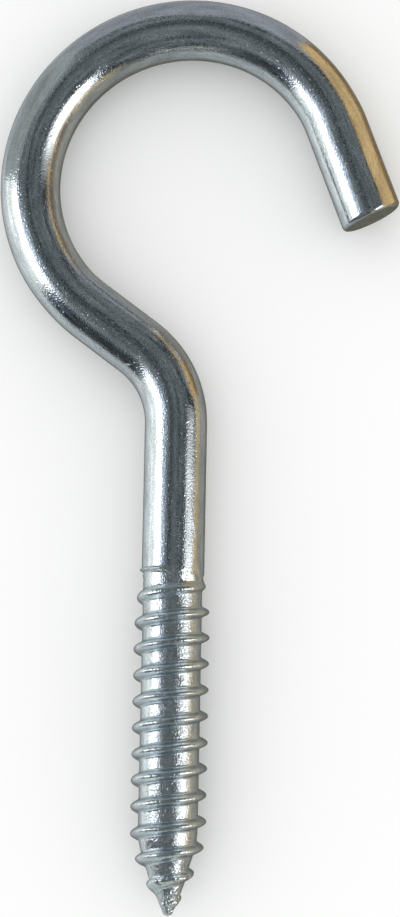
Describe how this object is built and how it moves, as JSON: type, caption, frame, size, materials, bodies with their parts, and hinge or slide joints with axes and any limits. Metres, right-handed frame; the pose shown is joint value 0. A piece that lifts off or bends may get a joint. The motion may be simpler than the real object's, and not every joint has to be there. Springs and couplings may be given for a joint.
{
  "type": "screw hook",
  "caption": "Open hook bent from round zinc-plated wire, with a plain shank and a rolled wood thread with a gimlet point; it is screwed into timber and holds what hangs in its bow.",
  "frame": {"origin": "on the shank's axis at the shoulder where the thread ends, which is the mouth of the screw's hole", "axes": "+Y along the shank from the tip towards the bow, +X towards the side on which the bow opens, +Z square to the plane of the hook, which lies flat"},
  "size_m": [0.0377, 0.086, 0.007],
  "materials": {
    "zinc_plated_steel": "bright zinc plating, glossy, with fine draw marks along the wire"
  },
  "bodies": {
    "root": {"screw_hook": "zinc_plated_steel"}
  },
  "joints": []
}
